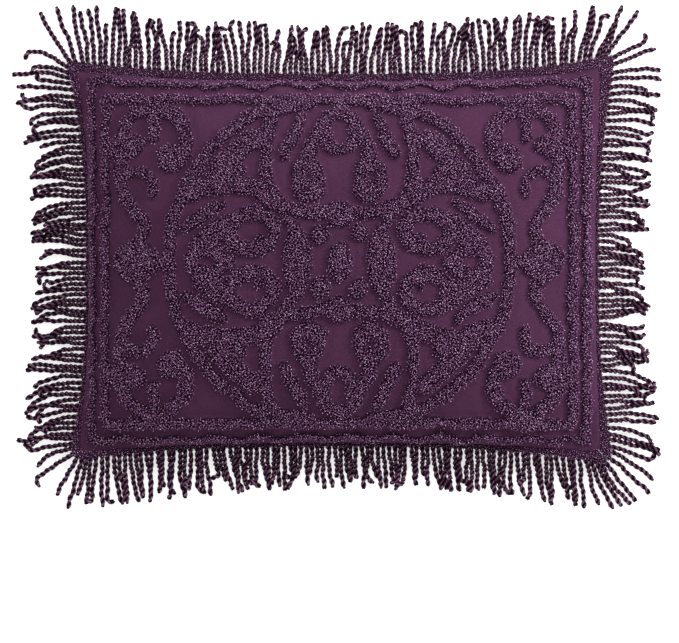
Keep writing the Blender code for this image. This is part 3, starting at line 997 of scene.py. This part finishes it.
def cord_route(side, t, chance, lean):
    """Centreline of one cord, from inside the heading down to the floor and out to its tip."""
    root_lean, tip_turn, spread, hooked = CORD_DRAPE[side]
    inner = heading_shows(side, t) - CORD_START
    start = on_side(side, t, inner)
    angle = math.radians(OUTWARDS[side]) + corner_fan(side, t)
    length = HEADING_WIDTH - TAPE_TUCK - inner + cord_reach(side, t) * chance.choice(CORD_LENGTHS)
    root_turn = math.radians(chance.gauss(root_lean, ROOT_SPREAD)) + lean
    bend = math.radians(chance.gauss(tip_turn, spread)) + lean
    ripple = drawn_angle(chance, RIPPLE)
    ripple_turns, phase = chance.uniform(*RIPPLE_TURNS), chance.uniform(0, math.tau)
    kink = drawn_angle(chance, KINK)
    kink_turns, kink_phase = length / (chance.uniform(*KINK_LENGTH) * MM), chance.uniform(0, math.tau)
    hook = drawn_angle(chance, HOOK) * chance.choice((-1, 1))
    hook *= chance.random() < hooked
    hook_start = 1 - chance.uniform(*HOOK_LENGTH) * MM / length
    route = [start]
    step = length / (CORD_POINTS - 1)
    for i in range(1, CORD_POINTS):
        s = i / (CORD_POINTS - 1)
        free = smooth_step((s - 0.08) / 0.30)
        drape = root_turn * (1 - s) + bend * s ** 1.4
        drape += ripple * math.sin(math.tau * ripple_turns * s + phase)
        drape += kink * math.sin(math.tau * kink_turns * s + kink_phase)
        curl = hook * smooth_step((s - hook_start) / (1 - hook_start))
        heading = angle + free * drape + curl
        route.append(route[-1] + step * np.array((math.cos(heading), math.sin(heading), 0)))
    route = np.array(route)
    top = start[2] - HEADING_DROOP * inner / HEADING_WIDTH - ROOT_SAG
    rest = CORD_WIDTH * 0.5 + FLOOR_GAP
    route[:, 2] = top + (rest - top) * smooth_step((plan_run(route) - FALL_START) / CORD_FALL)
    return route


def lay_over(routes):
    """Lifts each cord where it crosses one laid before it."""
    for i, route in enumerate(routes):
        for other in routes[max(0, i - LAID_BEFORE):i]:
            apart = np.hypot(*(route[:, None, :2] - other[None, :, :2]).transpose(2, 0, 1))
            gap = apart.min(axis=1)
            lift = LIFT * np.sqrt(np.clip(1 - (gap / TOUCH) ** 2, 0, 1))
            need = other[apart.argmin(axis=1), 2] + lift
            under = (gap < TOUCH) & (np.arange(len(gap)) > ROOT_POINTS)
            route[under, 2] = np.maximum(route[under, 2], need[under])
        for _ in range(2):
            route[1:-1, 2] = np.maximum(route[1:-1, 2], 0.5 * (route[:-2, 2] + route[2:, 2]))
    return routes


def cord_group():
    """Two plies wound round each other along every curve, drawn together into a round tip."""
    tree, given, result = geometry_group("two_ply_cord", {
        "Ply Radius": CORD_WIDTH * 0.29,
        "Ply Offset": CORD_WIDTH * 0.215,
        "Turn Length": CORD_TURN,
        "Tip Length": 3.4 * MM,
        "Tip Swell": 0.20,
        "Step": 1.75 * MM,
        "Sides": 5,
    })
    path = node(tree, "GeometryNodeResampleCurve", mode="LENGTH")
    feed_all(path, {"Curve": given["Geometry"], "Length": given["Step"]})
    along = Wire(node(tree, "GeometryNodeSplineParameter").outputs["Length"])
    whole = Wire(node(tree, "GeometryNodeSplineLength").outputs["Length"])
    place = node(tree, "GeometryNodeInputPosition")

    from_tip = (whole - along) / given["Tip Length"]
    inside = 1.0 - maths("MINIMUM", from_tip, 1.0)
    dome = maths("MAXIMUM", maths("SQRT", 1.0 - inside * inside), 0.14)
    past = from_tip - 1.2
    swell = maths("EXPONENT", past * past * -1.0) * given["Tip Swell"]
    size = (swell + 1.0) * node(tree, "GeometryNodeInputRadius") * dome
    path = stored(path, "cord_middle", place, "FLOAT_VECTOR")
    path = stored(path, "cord_run", along)
    path = stored(path, "cord_size", size)
    size = recalled(tree, "cord_size")

    pace, start = [
        node(tree, "GeometryNodeFieldOnDomain",
             {0: random_between(tree, low, high, given["Seed"] + seed_step)}, domain="CURVE")
        for low, high, seed_step in ((*CORD_PACES, 1), (0.0, math.tau, 0))
    ]
    winding = along / given["Turn Length"] * math.tau * pace + start
    section = ring_section(tree, given["Sides"], given["Ply Radius"])
    section = stored(section, "ply_round", place, "FLOAT_VECTOR")
    out = scaled(tree, node(tree, "GeometryNodeInputNormal"), size * given["Ply Offset"])
    axis = node(tree, "GeometryNodeInputTangent")
    join = node(tree, "GeometryNodeJoinGeometry")
    for half_turn in (0.0, math.pi):
        turned = node(tree, "ShaderNodeVectorRotate",
                      {"Vector": out, "Axis": axis, "Angle": winding + half_turn},
                      rotation_type="AXIS_ANGLE")
        ply = node(tree, "GeometryNodeSetPosition", {"Geometry": path, "Offset": turned})
        ply = node(tree, "GeometryNodeSetCurveRadius", {"Curve": ply, "Radius": size})
        feed(join.inputs["Geometry"], round_mesh(ply, section))

    middle = recalled(tree, "cord_middle", "FLOAT_VECTOR")
    away = node(tree, "ShaderNodeVectorMath", {0: place, 1: middle}, operation="DISTANCE").outputs["Value"]
    cords = stored(join, "ply_crown", Wire(away) / (given["Ply Radius"] + given["Ply Offset"]))
    cords = node(tree, "GeometryNodeSetShadeSmooth", {"Geometry": cords, "Shade Smooth": True})
    return finish_group(given, result, cords, ("cord_middle", "cord_size"))


def heading_mesh(side):
    """The woven heading: a rounded bar along the seam, mitred at both ends."""
    bm = bmesh.new()
    rings = []
    for t in np.sin(np.linspace(-1, 1, TAPE_STATIONS) * math.pi / 2) * TAPE_ENDS:
        ring = []
        width = TAPE_TUCK + heading_shows(side, t)
        for across, up in TAPE_SECTION:
            point = on_side(side, float(t), across * width - TAPE_TUCK)
            drop = HEADING_DROOP * across * width / HEADING_WIDTH
            ring.append(bm.verts.new((point[0], point[1], point[2] + up * (HEADING_THICKNESS / 2) - drop)))
        rings.append(ring)
    for first, second in zip(rings, rings[1:]):
        for i in range(len(TAPE_SECTION)):
            j = (i + 1) % len(TAPE_SECTION)
            bm.faces.new((first[i], first[j], second[j], second[i]))
    bm.faces.new(rings[0])
    bm.faces.new(list(reversed(rings[-1])))
    bmesh.ops.recalc_face_normals(bm, faces=bm.faces)
    mesh = mesh_from(bm, "heading_" + side)
    mesh.shade_smooth()
    return mesh


def cord_curves(side, places, routes):
    """The cords' middle lines as curves, each with its thickness along its run."""
    curves = bpy.data.curves.new("cords_" + side, "CURVE")
    curves.dimensions = "3D"
    for t, route in zip(places, routes):
        spline = curves.splines.new("POLY")
        spline.points.add(len(route) - 1)
        spline.points.foreach_set("co", np.column_stack((route, np.ones(len(route)))).ravel())
        out = plan_run(route)
        thick = 1.0 + ROOT_SWELL * np.exp(-(out / (2.5 * CORD_START)) ** 2)
        thick *= np.minimum(1.0, 0.55 + 0.45 * out / CORD_START)
        thick *= 1.0 + 0.07 * np.sin(out / (3.3 * MM) + 9 * t)
        spline.points.foreach_set("radius", thick)
    return made_object("cords_" + side, curves)


def heading_loops(side, tape_mesh, group, material):
    """Small loops that stand all over the outside of the heading."""
    bed = tape_mesh.copy()
    normals = np.empty(len(bed.vertices) * 3)
    bed.vertices.foreach_get("normal", normals)
    put_attribute(bed, "pile_share", smooth_step(2.0 * normals[2::3] + 0.8))
    obj = made_object("loop_bed_" + side, bed)
    run_group(obj, group, {
        "Spacing": LOOP_SPACING, "Yarn Length": LOOP_LENGTH, "Yarn Radius": 0.42 * MM,
        "Yarns": 3, "Splay": 1.1, "Lean": 0.9, "Seed": SIDE_SEEDS[side], "Material": material,
    })
    return plain_mesh(obj, "loops_" + side, material)


def side_routes(side):
    """The places along a side where its cords start, and the cords' middle lines."""
    chance = random.Random(SIDE_SEEDS[side])
    count = CORD_COUNTS[side]
    half_length = HALF_WIDTH if side in ("top", "bottom") else HALF_HEIGHT
    shifts = [chance.uniform(-PLACE_SPREAD, PLACE_SPREAD) for _ in range(count)]
    places = np.array([-1 + 2 * (i + 0.5 + shift) / count for i, shift in enumerate(shifts)])
    leans = waves(places * half_length / MM, 0 * places, SIDE_SEEDS[side] + 40, 5, 24, 90)
    leans = np.radians(LEAN_WAVES) * leans * (1 - np.abs(places) ** 12)
    routes = [cord_route(side, float(t), chance, float(lean)) for t, lean in zip(places, leans)]
    return places, lay_over(routes)


# -------- studio
def pale_floor():
    bm = bmesh.new()
    bmesh.ops.create_grid(bm, x_segments=2, y_segments=2, size=4.0)
    material, shader, place = new_material("pale_floor", {
        "Roughness": 0.9, "Specular IOR Level": 0.1,
        "Emission Color": (1.0, 1.0, 1.0), "Emission Strength": 0.70})
    grain = node(material.node_tree, "ShaderNodeTexNoise", {"Vector": place, "Scale": 3.0}).outputs["Fac"]
    tone = colour_ramp(grain, ((0.3, (0.50, 0.50, 0.50)), (0.7, (0.52, 0.52, 0.52))))
    feed(shader.inputs["Base Color"], tone)
    floor = made_object("studio_floor", mesh_from(bm, "studio_floor"), material)


def soft_box(name, place, size, power):
    light = bpy.data.lights.new(name, "AREA")
    set_all(light, {"shape": "DISK", "size": size, "energy": power})
    obj = made_object(name, light)
    obj.location = place
    obj.rotation_mode = "QUATERNION"
    obj.rotation_quaternion = (-Vector(place)).to_track_quat("-Z", "Y")


def studio():
    pale_floor()
    world = bpy.data.worlds.new("studio_air")
    world.use_nodes = True
    feed_all(world.node_tree.nodes["Background"], {"Color": (1.0, 1.0, 1.0), "Strength": 1.0})
    bpy.context.scene.world = world
    soft_box("key_right", (2.20, 0.85, 1.40), 0.6, 101)
    soft_box("wide_top", (0.00, 1.80, 2.35), 1.6, 54)
    bpy.context.scene.view_settings.view_transform = "Standard"


def straight_down_camera():
    data = bpy.data.cameras.new("camera")
    data.sensor_width = 36
    field = VIEW_COLUMNS * MM_PER_PIXEL * MM
    data.lens = data.sensor_width * (CAMERA_HEIGHT - SEAM_HEIGHT_SIDE) / field
    data.clip_end = 50
    camera = made_object("camera", data)
    camera.location = (0.0, (SHAM_ROW - VIEW_ROWS / 2) * MM_PER_PIXEL * MM, CAMERA_HEIGHT)
    bpy.context.scene.camera = camera


# -------- everything
def ride_as(pieces):
    """Every piece rides on the one body."""
    for piece in pieces:
        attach(piece, "root")


def dress_sham(weave, fuzz, tufts):
    moves = settled_cover()
    cover = sewn_cover(ground_cloth(weave, fuzz), moves)
    yarn = pile_yarn(fuzz, "plum_chenille_pile", 1.0)
    ride_as([cover] + chenille_pile(tufts, yarn, moves))
    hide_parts("filled_sham")


def dress_fringe(weave, fuzz, tufts):
    group = cord_group()
    cord_material, tape_material = cord_yarn(fuzz), heading_tape(weave, fuzz)
    # painted light: the loops take a copy of the pile yarn made brighter
    loop_material = pile_yarn(fuzz, "plum_heading_loops", 1.15)
    for side in SIDE_SEEDS:
        curves = cord_curves(side, *side_routes(side))
        run_group(curves, group, {"Seed": SIDE_SEEDS[side], "Material": cord_material})
        cords = plain_mesh(curves, "cords_" + side, cord_material)
        tape = made_object("tape_" + side, heading_mesh(side), tape_material)
        loops = heading_loops(side, tape.data, tufts, loop_material)
        ride_as([cords, tape, loops])
        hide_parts("fringe_" + side)


weave_threads, loose_fibres = plain_weave_group(), thread_fuzz_group()
yarn_tufts = pile_group()
dress_sham(weave_threads, loose_fibres, yarn_tufts)
dress_fringe(weave_threads, loose_fibres, yarn_tufts)
studio()
straight_down_camera()
